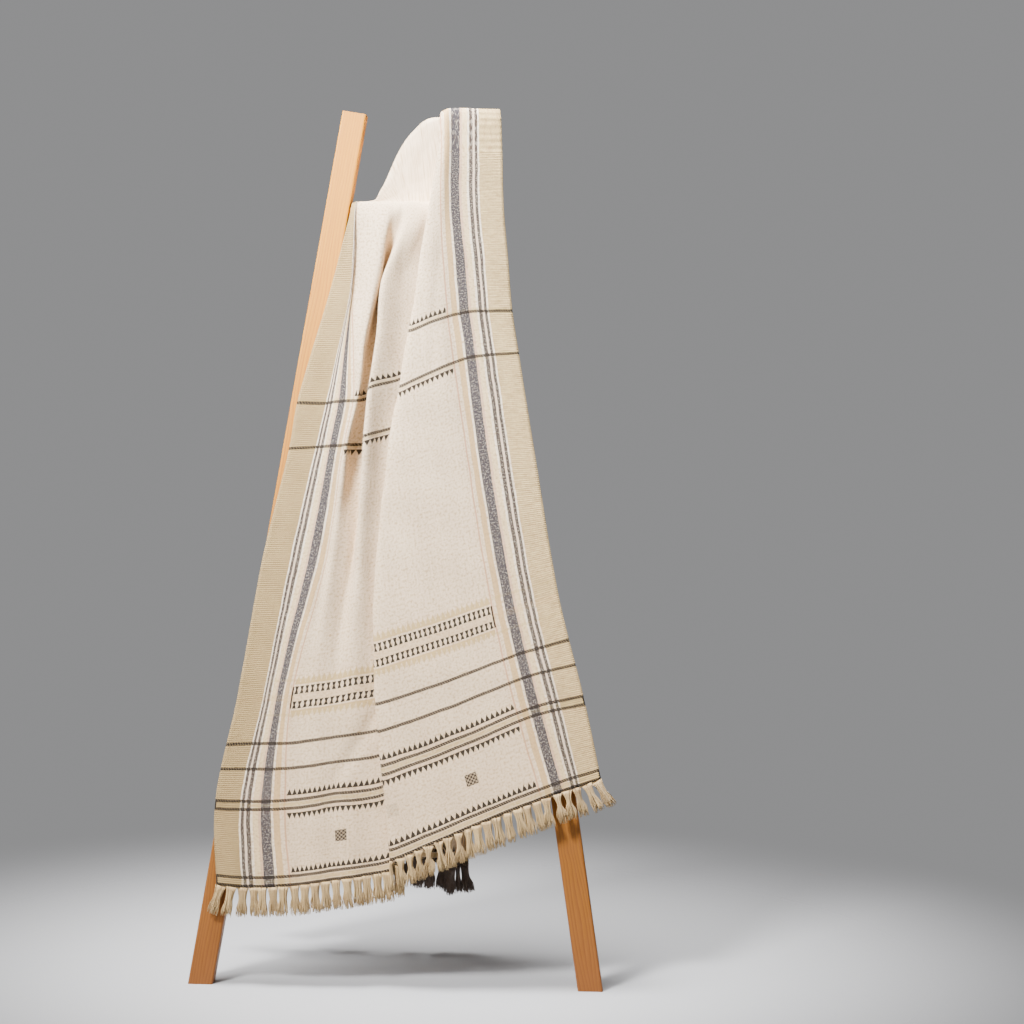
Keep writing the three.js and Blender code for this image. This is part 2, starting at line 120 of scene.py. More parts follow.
# Sections in front, from the hem to the top: along is the flat distance from the hem, and flat gives the
# flat places of the lines from field to panel.
FRONT_SECTIONS = (
    dict(along=0, steps=18, lift=(1, 0),
         across=(-306, -263, -176, -123, -106, -89, -49, -10, 13, -10, 138, 273, 346),
         up=(164, 161, 165, 173, 176, 178, 185, 193, 202, 210, 273, 328, 353),
         out=(26, 29, 35, 37, 36, 34, 31, 25, 30, 38, 48, 41, 30),
         flat=(117, 180, 200, 220, 260, 296, 311, 326, 470)),
    dict(along=144, steps=22, lift=(1, 0),
         across=(-312, -269, -185, -137, -118, -99, -61, -27, 0, -27, 104, 230, 315),
         up=(303, 302, 305, 312, 316, 319, 323, 330, 346, 366, 414, 469, 490),
         out=(24, 27, 34, 36, 34, 33, 30, 25, 30, 38, 47, 39, 28),
         flat=(121, 170, 192, 215, 250, 283, 314, 345, 480)),
    dict(along=325, steps=28, lift=(1, 0),
         across=(-279, -234, -184, -147, -130, -112, -77, -42, 11, -44, 71, 185, 269),
         up=(480, 484, 485, 490, 492, 495, 502, 509, 529, 559, 595, 637, 666),
         out=(23, 26, 32, 34, 32, 31, 33, 26, 31, 39, 47, 36, 26),
         flat=(115, 150, 168, 185, 218, 250, 307, 364, 488)),
    dict(along=557, steps=24, lift=(1, 0),
         across=(-239, -191, -131, -115, -98, -82, -73, -39, 46, -35, 54, 137, 227),
         up=(727, 728, 735, 739, 742, 746, 752, 763, 797, 826, 857, 886, 895),
         out=(23, 27, 32, 38, 27, 16, 41, 27, 31, 40, 47, 35, 25),
         flat=(105, 146, 162, 178, 210, 245, 330, 415, 515)),
    dict(along=749, steps=10, lift=(1, 0),
         across=(-198, -152, -108, -97, -90, -66, -65, -23, 78, -9, 49, 110, 194),
         up=(913, 916, 918, 920, 922, 924, 934, 950, 994, 1021, 1046, 1072, 1082),
         out=(23, 28, 37, 42, 14, 10, 49, 27, 29, 41, 48, 35, 24),
         flat=(102, 120, 147, 165, 197, 244, 361, 479, 548)),
    dict(along=826, steps=13, lift=(1, 0),
         across=(-186, -136, -95, -80, -76, -60, -59, -8, 76, 6, 49, 98, 182),
         up=(992, 992, 995, 995, 999, 1005, 1017, 1035, 1080, 1117, 1133, 1150, 1155),
         out=(23, 29, 39, 45, 18, 16, 51, 27, 28, 41, 47, 35, 23),
         flat=(102, 126, 152, 168, 205, 255, 380, 505, 560)),
    dict(along=927, steps=13, lift=(1, 0),
         across=(-160, -115, -94, -70, -67, -48, -47, -5, 74, 20, 52, 88, 173),
         up=(1091, 1091, 1094, 1096, 1099, 1104, 1112, 1128, 1188, 1217, 1230, 1242, 1247),
         out=(22, 30, 33, 44, 0, -6, 49, 27, 27, 40, 46, 35, 23),
         flat=(109, 140, 178, 192, 236, 298, 415, 530, 572)),
    dict(along=1028, steps=15, lift=(1, 0),
         across=(-132, -97, -92, -53, -50, -40, -39, -1, 70, 35, 56, 78, 164),
         up=(1191, 1191, 1193, 1195, 1198, 1202, 1208, 1222, 1297, 1318, 1328, 1335, 1339),
         out=(20, 31, 27, 41, -2, -4, 43, 27, 26, 39, 44, 34, 22),
         flat=(117, 160, 203, 213, 265, 340, 450, 556, 585)),
    dict(along=1150, steps=6, lift=(1, 0),
         across=(-101, -93, -89, -35, -24, -14, 3, 43, 68, 50, 62, 76, 160),
         up=(1325, 1325, 1325, 1325, 1325, 1325, 1325, 1328, 1371, 1431, 1433, 1431, 1431),
         out=(19.5, 23, 20, 24, 22, 20, 24, 20, 22, 34, 39, 31, 21),
         flat=(117, 180, 215, 250, 310, 420, 500, 575, 595)),
    dict(along=1172, steps=6, lift=(0.8, 0.6),
         across=(-99.5, -92, -88, -37, -26, -14, 3, 42, 66, 52, 62, 74, 155),
         up=(1340, 1341, 1341, 1343, 1342, 1342, 1343, 1344, 1440, 1492, 1501, 1505, 1504),
         out=(13, 13, 13, 13, 12, 12, 13, 12, 14, 22, 24, 19, 18),
         flat=(117, 180, 215, 250, 315, 430, 510, 584, 599)),
    dict(along=1181, steps=6, lift=(0.5, 0.6),
         across=(-99, -91, -86, -46, -34, -22, 0, 39, 64, 52, 62, 73, 152),
         up=(1344, 1345, 1345, 1347, 1348, 1348, 1352, 1356, 1474, 1499, 1506, 1508, 1507),
         out=(4, 3, 3, -3, -6, -10, -16, -14, 0, 12, 13, 11, 10),
         flat=(117, 180, 215, 250, 318, 435, 515, 588, 601)),
    dict(along=1190, steps=4, lift=(0, 0.6),
         across=(-99, -91, -86, -60, -53, -46, -14, 23, 62, 52, 63, 71, 150),
         up=(1344, 1345, 1345, 1350, 1365, 1380, 1461, 1497, 1501, 1503, 1507, 1508, 1507),
         out=(0, 0, 0, -2, -9, -16, -46, -36, -14, 0, 1, 0, 0),
         flat=(117, 180, 215, 250, 320, 440, 520, 592, 603)),
    dict(along=1208, steps=5, lift=(-0.6, 0.4),
         across=(-99, -91, -86, -60, -53, -46, -14, 23, 62, 53, 63, 71, 150),
         up=(1339, 1340, 1340, 1344, 1358, 1372, 1452, 1489, 1493, 1495, 1501, 1505, 1504),
         out=(-14, -14, -14, -17, -24, -30, -59, -49, -28, -22, -24, -20, -18),
         flat=(117, 180, 215, 250, 320, 440, 520, 592, 603)),
    dict(along=1239, steps=18, lift=(-1, 0),
         across=(-100, -91, -86, -60, -54, -47, -13, 30, 62, 53, 63, 72, 150),
         up=(1322, 1322, 1322, 1325, 1338, 1352, 1428, 1462, 1464, 1467, 1471, 1475, 1475),
         out=(-20, -21, -20, -24, -30, -36, -63, -54, -34, -30, -34, -27, -21),
         flat=(117, 180, 215, 250, 320, 440, 520, 592, 603)),
)

# Sections of the half that hangs upright behind: height over the floor, middle depth, and depth of its folds
BACK_FLAT = (117, 170, 202, 235, 300, 365, 430, 495, 555)
BACK_SECTIONS = (
    dict(along=1432, steps=38, middle=262, fold=9, flat=BACK_FLAT,
         across=(-120, -105, -85, -62, -50, -38, -14, 14, 50, 82, 108, 128, 152),
         height=(1130, 1130, 1130, 1130, 1135, 1140, 1170, 1200, 1215, 1230, 1245, 1250, 1250)),
    dict(along=1880, steps=46, middle=255, fold=20, flat=BACK_FLAT,
         across=(-205, -173, -139, -103, -85, -67, -32, 4, 38, 70, 95, 114, 131),
         height=(690, 690, 690, 690, 692, 694, 702, 714, 727, 742, 756, 768, 778)),
    dict(along=2420, steps=0, middle=248, fold=22, flat=BACK_FLAT,
         across=(-290, -247, -197, -147, -122, -98, -51, -8, 26, 54, 75, 91, 106),
         height=(208, 207, 206, 203, 201, 199, 193, 183, 171, 162, 157, 157, 160)),
)
BACK_FOLD_SIDES = (0.2, -0.8, 0.9, -1, -0.1, 0.8, -0.9, 0.7, -1, 1, -0.8, 0.7, -0.2)

# Soft ripples of the cloth: height, wavelength across and along, and phase, in millimetres and radians
RIPPLE_BEND = 0.6
RIPPLE_BEND_LENGTH = 190
RIPPLES = (
    (0.9, 96, 1900, 0.4), (0.7, 61, 1100, 2.1), (0.6, 148, 420, 4.0),
    (0.5, 83, 260, 1.2), (0.35, 41, 170, 5.3), (0.3, 230, 95, 3.1),
)

# Ripples are pulled flat where the cloth hangs over the rung
RUNG_CALM = 0.85
RUNG_ALONG = 1195
RUNG_REACH = 60

# Soft creases of the cloth: flat start and end across and along, depth and width, in millimetres
CREASE_EASE = 4
CREASES = (
    ((305, 360), (192, 150), 3.0, 13), ((128, 690), (178, 420), 2.5, 12), ((300, 690), (268, 430), 2.5, 15),
    ((585, 1010), (545, 700), 1.8, 12), ((430, 560), (520, 380), 1.2, 22),
)
HEM_FLUTTER = 2.2
HEM_FLUTTER_WAVE = 74
HEM_FLUTTER_REACH = 70
HEM_FLUTTER_DRIFT = 1.3
HEM_FLUTTER_DRIFT_LENGTH = 120

# Borders: colour from each distance to the selvedge on, in millimetres
SELVEDGE = 41
GREY_STRIPES = ((43.5, 59), (76, 92))
STRIPES_MARGIN = 4
BORDER_STRIPES = (
    (0, "beige"), (SELVEDGE, "white"), (43.5, "grey"), (49, "mauve"), (52.5, "grey"), (59, "white"),
    (63, "straw"), (71.5, "blush"), (76, "slate"), (92, "white"), (96, "tan"), (106, "pale"),
    (112.5, "rose"), (115.5, "field"),
)

# Bands of coloured weft: middle and half width in distance from the hem, in millimetres, colour and cover
WEFT_STRIPS = (
    (11.6, 3.2, "olive", 0.85), (143.5, 3.0, "olive", 0.85), (132, 4, "rose", 0.2), (155, 4, "rose", 0.2),
    (296, 2.2, "olive", 0.45), (325, 5.5, "tan", 0.5), (353, 2.2, "olive", 0.45),
    (744.5, 2.6, "olive", 0.45), (830, 2.6, "olive", 0.45),
)

# Twined lines: distances from the hem, and which of them are joined at the selvedge, in millimetres
ROPE_PAIRS = ((4.2, 19), (136.5, 150.5))
ROPE_LINES = (4.2, 19, 136.5, 150.5, 205, 248, 749, 826)
ROPE_WIDTH = 5.5
ROPE_PITCH = 4.2
ROPE_SLANT = 0.55
ROPE_DASH = 0.68
ROPE_GAP_COVER = 0.68
JOIN_WIDTH = 2.4

# Motifs of the field between the borders, in millimetres. A side is a factor and an offset.
FIELD_START = 117
TRIANGLE_PITCH = 9.0
TRIANGLE_HEIGHT = 10.5
TRIANGLE_SIDE = (-1.0, 1.04)
TRIANGLE_ROWS = ((25, 1), (158.5, 1), (128.5, -1), (740, -1), (834, 1))
MOTIF_PITCH = 8.96
MOTIF_BAND = 325
MOTIF_ROW_OFFSET = 12
MOTIF_HALF_HEIGHT = 6.2
HOURGLASS_SIDE = (0.5, 0.28)
BRACKET_WIDTH = 3
BRACKET_REACH = 18
TEETH_START = 21
TEETH_HEIGHT = 13
TEETH_SIDE = (-0.9, 1.1)
TOOTH_COVER = 0.95
SQUARE_FROM_HEM = 78
SQUARE_FROM_EDGE = 216
SQUARE_HALF = 10
SQUARE_CELL = 3.33
CHECKER_COVER = (0.4, 0.6)
MIDDLE_SQUARE_COVER = 0.22
DARK_COVER = 0.98

# Noise over the flat cloth: scale per millimetre, factor and offset that make a cover of it, and detail
THREAD_DRIFT = (0.02, 3.0, -1.5)
THREAD_RAGGEDNESS = (0.7, 1.6, -0.8)
WEFT_FLECKS = (0.35, 2.2, -0.3)
FUZZ = (0.9, 0.5, -0.22, 3.0)
MOTTLE = (0.24, 3.2, -1.5)

# Flecks and twill of the grey stripes, and how much of other colours they keep off
FLECK_SCALE = 0.38
FLECK_CONTRAST = 3.2
FLECK_THRESHOLD = -1.72
FLECK_MOST = 0.26
TWILL_RATE = 2.1
TWILL_DEPTH = 0.2
WEFT_HIDDEN = 0.85
GREY_KEPT = 0.9

# Uneven yarn: scales per millimetre across and along it, and covers as a factor and an offset
YARN_ACROSS = 0.55
YARN_ALONG = 0.013
YARN_DETAIL = 3.0
STREAK_COVER = (0.6, -0.38)
YELLOWING = (-0.00028, 0.2)
SELVEDGE_STREAKS = (0.06, 0.3)
SELVEDGE_COVER = (1.6, -0.62)
# Painted shade over the left selvedge: how far it is darkened
LEFT_SELVEDGE_SHADE = 0.7

# Relief of the weave: pitch in millimetres, heights as shares of the bump, share of painted shade in its
# hollows, and the bump's strength and distance
RIB_PITCH = 3.4
RIB_HEIGHT = 0.9
WEAVE_HEIGHT = 0.5
WEAVE_SHADE = 0.09
NAP = (0.8, 4.0)
NAP_HEIGHT = 1.4
STREAK_HEIGHT = 0.8
DARK_HEIGHT = 0.5
WOOL_BUMP = (0.45, 0.0006)
WOOL_ROUGHNESS = (0.1, 0.8)

# Yarn of the tassels: scale per metre and detail of its noise, and covers as a factor and an offset
YARN_PATCHES = (45, 2.0)
YARN_HAIRS = (900, 3.0)
YARN_SHADE_COVER = (1.6, -0.35)
YARN_TIP_COVER = (1.2, -0.35)
YARN_BUMP = (0.5, 0.0004)
YARN_ROUGHNESS = (0.2, 0.75)

# Wood: slimness, scale per metre and detail of its noise, and covers as a factor and an offset
WOOD_SWAY = (6, 3.0, 2.0)
WOOD_STREAKS = (60, 9.0, 4.0)
WOOD_PORES = (30, 45.0, 3.0)
RINGS_IN_METRE = 190
RING_SHARPNESS = 2.5
RING_TILT = 0.35
RING_SWAY = 0.03
RING_KNOT_PUSH = 0.02
RING_COVER = 0.55
STREAK_GRAIN = (0.8, -0.3)
# Painted shade towards the floor, in the next two: cover by height as a factor and an offset, and its share
# on the rings
LOW_SHADE_COVER = (-0.72, 0.98)
LOW_SHADE_RING_COVER = 0.6
KNOT_FADE = 160
KNOT_COVER = 1.4
PORE_COVER = (0.8, -0.35)
RING_HEIGHT = 0.5
WOOD_BUMP = (0.25, 0.0005)
WOOD_ROUGHNESS = (0.25, 0.36)

# Knots of the wood, in metres
KNOTS = {
    "left_rail": ((-0.196, -0.012, 1.036), (-0.207, -0.031, 0.937), (-0.30, -0.11, 0.22)),
    "right_rail": ((0.283, -0.11, 0.23), (0.11, 0.08, 1.3)),
    "rung": ((0.05, -0.09, 0.33),),
}

# Stage: metres, watts and degrees
FLOOR_RADIUS = 6.0
FLOOR_SIDES = 96
FLOOR_FADE = (0.3, 1.4)
FLOOR_COLOUR = (0.42, 0.42, 0.43, 1)
FLOOR_ROUGHNESS = 0.75
BACKDROP_COLOUR = (0.29, 0.29, 0.295, 1)
WHITE_LIGHT = (1, 1, 1)
WARM_LIGHT = (1, 0.86, 0.7)
LIGHTS = {
    "key": dict(place=(-1.5, -2.1, 3.3), aim=(0, 0, 1.1), size=0.8, power=45, spread=55,
                colour=WHITE_LIGHT),
    "fill": dict(place=(-1.2, -3.4, 1.2), aim=(0, 0, 0.8), size=2.0, power=8, spread=180,
                 colour=WARM_LIGHT),
    "top": dict(place=(-0.3, 0.0, 3.1), aim=(0, 0, 1.3), size=1.0, power=50, spread=75,
                colour=WHITE_LIGHT),
}


def linear(red, green, blue):
    """A colour given as screen values from 0 to 255, as the renderer's linear values."""
    values = []
    for part in (red, green, blue):
        share = part / 255
        values.append(share / 12.92 if share <= 0.04045 else ((share + 0.055) / 1.055) ** 2.4)
    return (*values, 1.0)


COLOURS = {
    "field": linear(238, 214, 182),
    "white": linear(248, 236, 216),
    "beige": linear(206, 180, 126),
    "grey": linear(50, 42, 43),
    "mauve": linear(214, 190, 166),
    "straw": linear(234, 208, 160),
    "blush": linear(214, 176, 150),
    "slate": linear(42, 42, 54),
    "tan": linear(210, 172, 118),
    "pale": linear(238, 216, 186),
    "rose": linear(206, 152, 120),
    "olive": linear(176, 154, 86),
    "tooth": linear(196, 166, 106),
    "dark": linear(18, 12, 12),
    "yellowed": linear(206, 160, 104),
    # Darker beige of the selvedges' streaks, which is also the painted shade over the left selvedge
    "selvedge_streak_and_shade": linear(142, 118, 78),
    "streaked": linear(166, 138, 100),
    "fuzzy": linear(252, 240, 220),
    "mottled": linear(178, 146, 106),
    # Painted shade for the hollows of the weave
    "weave_hollow_shade": linear(120, 104, 80),
    "wood": linear(216, 146, 22),
    "wood_grain": linear(188, 108, 12),
    # Painted shade of the wood towards the floor, darkest on its rings
    "wood_low_shade": linear(122, 70, 20),
    "wood_shaded_ring": linear(90, 46, 12),
    "wood_knot": linear(120, 66, 34),
    "wood_pore": linear(150, 92, 50),
}

# Yarn of the tassels: light, shaded and tip colours
PALE_YARN = (linear(184, 154, 104), linear(134, 99, 54), linear(206, 182, 136))
DARK_YARN = (linear(84, 69, 59), linear(46, 37, 32), linear(128, 110, 96))


# Geometry of the throw

def on_ladder(across, out, up):
    """A point on the ladder, in the upright frame."""
    y = up * math.sin(LEAN) - out * math.cos(LEAN)
    z = up * math.cos(LEAN) + out * math.sin(LEAN)
    return (across, y, z)


def with_bends(values, reach):
    """The values of one section with the turn and the crease given as three guides each."""
    spread = []
    for index, value in enumerate(values):
        if index in (TURN_LINE, CREASE_LINE):
            spread.extend((value - reach, value, value + reach))
        else:
            spread.append(value)
    return spread


def front_guides(section):
    guides = []
    for index, (across, out, up) in enumerate(zip(section["across"], section["out"], section["up"])):
        if index not in (TURN_LINE, CREASE_LINE):
            guides.append(on_ladder(across, out, up))
            continue
        inward = -TURN_RADIUS if index == TURN_LINE else TURN_RADIUS
        for side in (-1, 0, 1):
            lifted_out = out + section["lift"][0] * side * TURN_RADIUS
            lifted_up = up + section["lift"][1] * side * TURN_RADIUS
            guides.append(on_ladder(across + abs(side) * inward, lifted_out, lifted_up))
    return guides


def back_guides(section):
    guides = []
    for index, (across, height) in enumerate(zip(section["across"], section["height"])):
        depth = section["fold"] * BACK_FOLD_SIDES[index]
        sides = (-1, 0, 1) if index in (TURN_LINE, CREASE_LINE) else (0,)
        for side in sides:
            flattened = depth * (1 - BACK_TURN_FLATTENING * abs(side))
            guides.append((across + side * BACK_TURN_WIDTH, section["middle"] + flattened, height))
    return guides


def smooth_curves(guides, steps):
    """Points on centripetal Catmull-Rom curves through guides, for many curves side by side."""
    first = 2 * guides[0] - guides[1]
    last = 2 * guides[-1] - guides[-2]
    knots = np.concatenate([first[None], guides, last[None]])
    gaps = np.sqrt(np.linalg.norm(np.diff(knots, axis=0), axis=-1, keepdims=True))
    points = []
    for span, count in enumerate(steps):
        before, start, end, after = knots[span:span + 4]
        gap_before, gap, gap_after = gaps[span:span + 3]
        leave = (start - before) / gap_before - (end - before) / (gap_before + gap) + (end - start) / gap
        reach = (end - start) / gap - (after - start) / (gap + gap_after) + (after - end) / gap_after
        leave = leave * gap
        reach = reach * gap
        for step in range(count):
            share = step / count
            cubic = 2 * start - 2 * end + leave + reach
            square = -3 * start + 3 * end - 2 * leave - reach
            points.append(((cubic * share + square) * share + leave) * share + start)
    points.append(guides[-1])
    return np.array(points)


def spread_by_length(lengths, ends, steps):
    """Values along a line that run from ends[i] to ends[i + 1] over each span, in step with its length."""
    values = [ends[0]]
    start = 0
    for span, count in enumerate(steps):
        covered = np.cumsum(lengths[start:start + count], axis=0)
        share = covered / covered[-1]
        values.extend(ends[span] + (ends[span + 1] - ends[span]) * share)
        start += count
    return np.array(values)


def drape():
    """The middle surface of the throw in millimetres, and its flat places across and along."""
    sections = FRONT_SECTIONS + BACK_SECTIONS
    guides = [front_guides(section) for section in FRONT_SECTIONS]
    guides += [back_guides(section) for section in BACK_SECTIONS]
    steps_along = [section["steps"] for section in sections[:-1]]
    lines = smooth_curves(np.array(guides, float), steps_along)
    grid = smooth_curves(lines.transpose(1, 0, 2), STEPS_ACROSS).transpose(1, 0, 2)

    row_lengths = np.linalg.norm(np.diff(grid, axis=0), axis=-1).mean(axis=1)
    along = spread_by_length(row_lengths, np.array([s["along"] for s in sections], float), steps_along)

    flats = [with_bends(FLAT_LEFT + section["flat"] + FLAT_RIGHT, TURN_ARC) for section in sections]
    section_places = [section["along"] for section in sections]
    line_flats = np.array([np.interp(along, section_places, line) for line in np.array(flats).T])
    column_lengths = np.linalg.norm(np.diff(grid, axis=1), axis=-1).T
    across = spread_by_length(column_lengths, line_flats, STEPS_ACROSS).T
    return grid, across, np.broadcast_to(along[:, None], across.shape)


def normals_of(grid):
    across_way = np.gradient(grid, axis=1)
    along_way = np.gradient(grid, axis=0)
    normals = np.cross(across_way, along_way)
    return normals / np.linalg.norm(normals, axis=-1, keepdims=True)


def ripple_height(across, along):
    """Soft ripples, pulled flat over the rung."""
    height = np.zeros(across.shape)
    for size, wave_across, wave_along, phase in RIPPLES:
        bend = RIPPLE_BEND * np.sin(along / RIPPLE_BEND_LENGTH + phase)
        height += size * np.sin(2 * math.pi * (across / wave_across + along / wave_along) + phase + bend)
    return height * (1 - RUNG_CALM * np.exp(-((along - RUNG_ALONG) / RUNG_REACH) ** 2))


def crease_depth(across, along, start, end, depth, width):
    """One soft crease, which fades out at both ends."""
    run = np.subtract(end, start)
    share = ((across - start[0]) * run[0] + (along - start[1]) * run[1]) / run.dot(run)
    apart = ((across - start[0]) * run[1] - (along - start[1]) * run[0]) / np.linalg.norm(run)
    ends = np.clip(np.minimum(share, 1 - share) * CREASE_EASE, 0, 1)
    return depth * ends * ends * (3 - 2 * ends) * np.exp(-(apart / width) ** 2)


def flutter_height(across, along):
    """A flutter that grows towards both hems."""
    from_hem = np.minimum(along, CLOTH_LENGTH - along)
    drift = HEM_FLUTTER_DRIFT * np.sin(across / HEM_FLUTTER_DRIFT_LENGTH)
    flutter = np.sin(2 * math.pi * across / HEM_FLUTTER_WAVE + drift)
    return HEM_FLUTTER * np.exp(-from_hem / HEM_FLUTTER_REACH) * flutter


def rippled(grid, across, along):
    """The surface with its ripples, creases and flutter."""
    height = ripple_height(across, along)
    for crease in CREASES:
        height -= crease_depth(across, along, *crease)
    height += flutter_height(across, along)
    return grid + normals_of(grid) * height[..., None]


def mesh_object(name, vertices, faces, material):
    mesh = bpy.data.meshes.new(name)
    mesh.from_pydata(vertices, [], faces)
    mesh.materials.append(material)
    mesh.shade_smooth()
    mesh.update()
    piece = bpy.data.objects.new(name, mesh)
    bpy.context.scene.collection.objects.link(piece)
    return piece


def closed_sheet(name, grid, material, flat):
    """A thin closed sheet round the middle surface grid, with flat places as its map."""
    rows, columns = grid.shape[:2]
    offset = normals_of(grid) * CLOTH_THICKNESS / 2 * MM
    vertices = np.concatenate([(grid + offset).reshape(-1, 3), (grid - offset).reshape(-1, 3)])
    number = np.arange(rows * columns).reshape(rows, columns)
    a, b = number[:-1, :-1], number[:-1, 1:]
    d, c = number[1:, :-1], number[1:, 1:]
    face = np.stack([a, b, c, d], axis=-1).reshape(-1, 4)
    back = face[:, ::-1] + rows * columns
    rim = np.concatenate([number[0, :-1], number[:-1, -1], number[-1, :0:-1], number[:0:-1, 0]])
    after = np.roll(rim, -1)
    edge = np.stack([after, rim, rim + rows * columns, after + rows * columns], axis=-1)
    faces = np.concatenate([face, back, edge])
    piece = mesh_object(name, vertices.tolist(), faces.tolist(), material)
    layer = piece.data.uv_layers.new(name="cloth")
    places = np.concatenate([flat.reshape(-1, 2)] * 2)
    corners = np.empty(len(piece.data.loops), int)
    piece.data.loops.foreach_get("vertex_index", corners)
    layer.data.foreach_set("uv", places[corners].ravel())
    return piece


# Geometry of the fringes

class Strands:
    """Collects thin tubes into one mesh."""

    def __init__(self):
        self.vertices = []
        self.faces = []

    def tube(self, points, radii, sides):
        points = np.asarray(points)
        ways = np.gradient(points, axis=0)
        start = len(self.vertices)
        for point, way, radius in zip(points, ways, radii):
            way = Vector(way).normalized()
            side = way.orthogonal().normalized()
            other = way.cross(side)
            for corner in range(sides):
                angle = 2 * math.pi * corner / sides
                offset = (side * math.cos(angle) + other * math.sin(angle)) * radius
                self.vertices.append(tuple(Vector(point) + offset))
        for ring in range(len(points) - 1):
            for corner in range(sides):
                following = (corner + 1) % sides
                low = start + ring * sides
                high = low + sides
                self.faces.append((low + corner, low + following, high + following, high + corner))
        self.faces.append(tuple(start + corner for corner in reversed(range(sides))))
        last = start + (len(points) - 1) * sides
        self.faces.append(tuple(last + corner for corner in range(sides)))


def unit(vector):
    return vector / np.linalg.norm(vector)


def along_line(place, lengths, values):
    """The value at a place along a line, from the values at its points."""
    return np.array([np.interp(place, lengths, values[:, axis]) for axis in range(3)])


def add_tassel(strands, root, way, wide, thick, slack, random):
    """Loose yarns that gather from the hem into a neck and open into a tuft below it."""
    openings = [opening + (1 - opening) * slack for opening in TUFT_OUTLINE]
    rings = np.linspace(0, 1, len(TUFT_OUTLINE))
    twist = TUFT_TWIST * random.uniform(-1, 1)
    for _ in range(YARNS_IN_TASSEL):
        length = TASSEL_LENGTH * random.uniform(*YARN_LENGTH_SHARES)
        angle = random.uniform(0, 2 * math.pi)
        reach = math.sqrt(random.uniform(0, 1))
        curl = random.uniform(-TUFT_CURL, TUFT_CURL)
        phase = random.uniform(0, 2 * math.pi)
        line = []
        for ring, opening in zip(rings, openings):
            fullness = TUFT_HEAD + (1 - TUFT_HEAD) * ring ** TUFT_FILLING
            turned = angle + twist * ring
            wave = curl * math.sin(phase + TUFT_CURL_RATE * ring) * ring ** 2
            sideways = math.cos(turned) * reach * TUFT_WIDTH * opening + wave
            outwards = math.sin(turned) * reach * TUFT_DEPTH * fullness + TUFT_CURL_DEPTH * wave
            line.append(root + way * length * ring + wide * sideways + thick * outwards)
        radii = YARN_RADIUS * MM * (1 - YARN_TAPER * rings ** 3)
        strands.tube(np.array(line) * MM, radii, YARN_SIDES)


def fringe(name, grid, hem_row, row_above, necks, material, seed):
    """Tassels along one end of the throw, each hung from the hem's own cloth."""
    random = np.random.default_rng(seed)
    hem = grid[hem_row]
    downs = hem - grid[row_above]
    lengths = np.concatenate([[0], np.cumsum(np.linalg.norm(np.diff(hem, axis=0), axis=-1))])
    strands = Strands()
    for number in range(TASSEL_COUNT):
        scatter = random.uniform(-TASSEL_SCATTER, TASSEL_SCATTER)
        place = (number + 0.5 + scatter) / TASSEL_COUNT * lengths[-1]
        root = along_line(place, lengths, hem)
        cloth = unit(along_line(place, lengths, downs))
        wide = unit(along_line(place + HEM_SPAN, lengths, hem) - along_line(place - HEM_SPAN, lengths, hem))
        from_left = max(0, FANNED_TASSELS - number) / FANNED_TASSELS
        from_right = max(0, FANNED_TASSELS - (TASSEL_COUNT - 1 - number)) / FANNED_TASSELS
        fan = CORNER_FAN * (from_right - from_left) + random.uniform(-TASSEL_SWING, TASSEL_SWING)
        way = unit(cloth * (1 - HANG) + np.array([0, 0, -1]) * HANG + wide * fan)
        wide = unit(wide - way * wide.dot(way))
        thick = np.cross(wide, way)
        slack = np.interp(number, *zip(*necks))
        add_tassel(strands, root - cloth * TASSEL_OVERLAP, way, wide, thick, slack, random)
    return mesh_object(name, strands.vertices, strands.faces, material)


# Materials

